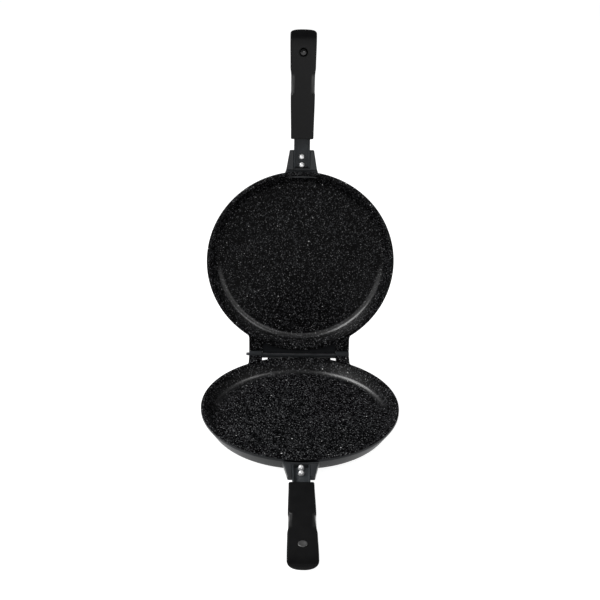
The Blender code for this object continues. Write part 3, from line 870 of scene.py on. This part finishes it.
def rubbed_face(points):
    """0.15 on a grip's face and edges, 1 in its thumb scoops, 0 on the belly and at the tip."""
    x, y, z = np.moveaxis(points, -1, 0)
    scoop = smooth(np.abs(x), 9.6, 11.4)
    scoop = scoop * smooth(-y, 215.0, 218.0) * (1.0 - smooth(-y, 236.0, 241.0))
    face = smooth(z, -6.5, -4.0) * smooth(y, GRIP_TIP + 3.0, GRIP_TIP + 22.0)
    return face * (0.15 + 0.85 * scoop)


def round_bore(radius, y, low, high, steps=64):
    """A cutter for a round hole along Z."""
    profile = [(0.0, low), (radius, low), (radius, high), (0.0, high)]
    return revolve(profile, steps, centre=(0.0, y, 0.0))


def box_cutter(x, y, z):
    """A cutter for a channel from -x to x, between two places along Y and two heights."""
    loop = np.array([(-x, z[0]), (x, z[0]), (x, z[1]), (-x, z[1])], float)
    rows = [np.stack([loop[:, 0], np.full(4, at), loop[:, 1]], axis=-1) for at in y]
    return loft(np.array(rows))


def magnet():
    """A disc with a rounded edge and a slightly dished middle."""
    face, radius, edge = 0.7, 4.9, 0.5
    side = arc((radius - edge, face - edge), edge, 0.0, 90.0, 6)
    dish = [[3.4, face - 0.02], [2.4, face - 0.12], [1.2, face - 0.2], [0.0, face - 0.22]]
    profile = np.concatenate([[[0.0, -3.9], [radius, -3.9]], side, dish])
    return revolve(profile, 64, centre=(0.0, LATCH, 0.0))


def keeper():
    """A domed stud."""
    radius, shoulder, foot = 4.6, -2.8, -4.1
    turn = np.linspace(0.0, np.pi / 2, 14)
    dome = np.stack([radius * np.cos(turn), shoulder + 2.0 * np.sin(turn)], axis=-1)
    dome[-1, 0] = 0.0
    profile = np.concatenate([[[0.0, foot], [radius, foot]], dome])
    return revolve(profile, 64, centre=(0.0, LATCH, 0.0))


# The pieces


def dress(half, side, recess):
    """All the pieces that the two halves have in common. recess is the radius round the latch."""
    pan = f"{side}_pan"
    # The mask recess paints shade on the casting's wall over the lug.
    piece(f"{pan}_casting", half, casting(), charcoal, [pan], {"recess": painted_shade_over_lug})
    piece(f"{pan}_coating", half, coating(), marble, [pan], {"rubbed": rubbed_corner})
    piece(f"{pan}_lug", half, lug(), charcoal, [pan], {"rubbed": rubbed_lug})
    channel = prism(shank_loop(), *SHANK_ENDS, 0.3, "Y")
    name = f"{side}_shank_channel"
    piece(name, half, channel, shank_steel, [f"{side}_shank"])
    for place, y in (("inner", INNER_RIVET), ("outer", OUTER_RIVET)):
        name, node = f"{side}_{place}_rivet", f"{side}_rivet_{place}"
        piece(name, half, rivet(y), rivet_metal, [node])
    name, node = f"{side}_half_grip", f"{side}_grip"
    masks = {"rubbed": rubbed_face}
    handle = piece(name, half, grip(), moulded, [node], masks)
    latch = round_bore(recess, LATCH, -4.4, 6.0)
    shank = box_cutter(10.2, (-213.0, -150.0), (-8.7, -2.3))
    screw = round_bore(2.3, SCREW, -20.0, -7.0, 40)
    screw_head = round_bore(4.1, SCREW, -20.0, -10.4, 40)
    carve(handle, [latch, shank, screw, screw_head], half)


dress(LOWER, "lower", 5.3)
dress(UPPER, "upper", 5.4)

for side, word in ((-1.0, "left"), (1.0, "right")):
    ear = arm(side, 124.0, -11.0, -8.0, EAR_IN)
    piece(f"lower_{word}_ear_arm", LOWER, ear, marble, ["lower_pan"])
    ends = sorted((side * EAR_IN, side * EAR_OUT))
    knuckle = prism(knuckle_loop(), *ends, 0.5)
    piece(f"lower_{word}_ear_knuckle", LOWER, knuckle, charcoal, ["lower_pan"])
    rib = arm(side, 121.4, -11.0, -9.0, RIB_IN)
    piece(f"upper_{word}_rib", UPPER, rib, marble, ["upper_pan"])
apron = follow_wall(apron_loop(), APRON_HALF, 0.6)
piece("lower_apron", LOWER, apron, marble, ["lower_pan"])
hook = follow_wall(hook_loop(), HOOK_HALF, 0.25)
# The mask recess paints shade on the hook's web.
piece("upper_hook", UPPER, hook, charcoal, ["upper_pan"], {"recess": painted_shade_over_web})
piece("hinge_rod", LOWER, pin(), pin_steel, ["hinge_pin"])
piece("latch_magnet", LOWER, magnet(), magnet_metal, ["grip_magnet"])
piece("latch_keeper", UPPER, keeper(), keeper_steel, ["grip_keeper"])

for node in ("lower_grip_screw", "upper_grip_screw", "lower_grip_nut", "upper_grip_nut"):
    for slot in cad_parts[node].material_slots:
        slot.material = zinc


# Stage, light and camera


def make_stage():
    """A large floor that keeps the object's shadow and looks white to the camera."""
    material, tree, shader, _ = finish("pale_floor", specular=0.0)
    shader.inputs["Base Color"].default_value = (0.45, 0.45, 0.45, 1.0)
    shader.inputs["Roughness"].default_value = 0.9
    rays = tree.nodes.new("ShaderNodeLightPath").outputs
    seen = calculate(tree, "ADD", rays["Is Camera Ray"], rays["Is Glossy Ray"], clamp=True)
    seen = calculate(tree, "ADD", seen, rays["Is Transmission Ray"], clamp=True)
    shader.inputs["Emission Color"].default_value = (1.0, 1.0, 1.0, 1.0)
    glow = calculate(tree, "MULTIPLY", seen, 0.9)
    tree.links.new(glow, shader.inputs["Emission Strength"])
    far = 60.0
    mesh = bpy.data.meshes.new("floor")
    corners = [(-far, -far, 0.0), (far, -far, 0.0), (far, far, 0.0), (-far, far, 0.0)]
    mesh.from_pydata(corners, [], [(0, 1, 2, 3)])
    mesh.materials.append(material)
    sheet = bpy.data.objects.new("floor", mesh)
    bpy.context.scene.collection.objects.link(sheet)


def make_world():
    """A dim even light from all round."""
    world = bpy.data.worlds.new("studio")
    bpy.context.scene.world = world
    world.use_nodes = True
    even = world.node_tree.nodes["Background"]
    even.inputs[0].default_value = (1.0, 1.0, 1.0, 1.0)
    even.inputs[1].default_value = 0.2


def stand(obj, right, up, back, place):
    """Links an object and gives it three axes and a place."""
    bpy.context.scene.collection.objects.link(obj)
    matrix = np.eye(4)
    matrix[:3, 0], matrix[:3, 1], matrix[:3, 2], matrix[:3, 3] = right, up, back, place
    obj.matrix_world = matrix.T.tolist()


def add_softbox(name, place, size, power):
    """An area lamp at place, in metres, that faces the middle of the pan."""
    lamp = bpy.data.lights.new(name, "AREA")
    lamp.shape = "RECTANGLE"
    lamp.size, lamp.size_y = size
    lamp.energy = power
    place, target = np.array(place), np.array([0.0, 0.05, 0.12])
    back = (place - target) / np.linalg.norm(place - target)
    right = np.cross([0.0, 0.0, 1.0], back)
    right = right / np.linalg.norm(right)
    stand(bpy.data.objects.new(name, lamp), right, np.cross(back, right), back, place)


def make_camera():
    """The photograph's view: its place, and its heading, dip and roll in degrees."""
    heading, dip, roll = (math.radians(a) for a in (1.0029, 25.4112, 0.9695))
    level = math.cos(dip)
    ahead = np.array([math.sin(heading) * level, math.cos(heading) * level, -math.sin(dip)])
    right = np.array([math.cos(heading), -math.sin(heading), 0.0])
    up = np.cross(right, ahead)
    turned_right = math.cos(roll) * right + math.sin(roll) * up
    turned_up = -math.sin(roll) * right + math.cos(roll) * up
    camera = bpy.data.cameras.new("view")
    camera.sensor_width = 36.0
    camera.lens = 62.398
    obj = bpy.data.objects.new("view", camera)
    stand(obj, turned_right, turned_up, -ahead, (-0.021092, -1.086696, 0.676555))
    bpy.context.scene.camera = obj


make_stage()
make_world()
add_softbox("left_box", (-1.28, -0.12, 1.28), (1.5, 0.95), 31.0)
add_softbox("left_rear_box", (-0.8, 0.85, 1.46), (1.2, 0.6), 6.0)
add_softbox("right_box", (1.26, -0.28, 1.29), (0.7, 0.9), 6.0)
add_softbox("front_box", (0.3, -1.75, 0.6), (0.9, 0.35), 4.0)
make_camera()
bpy.context.scene.view_settings.view_transform = "Standard"
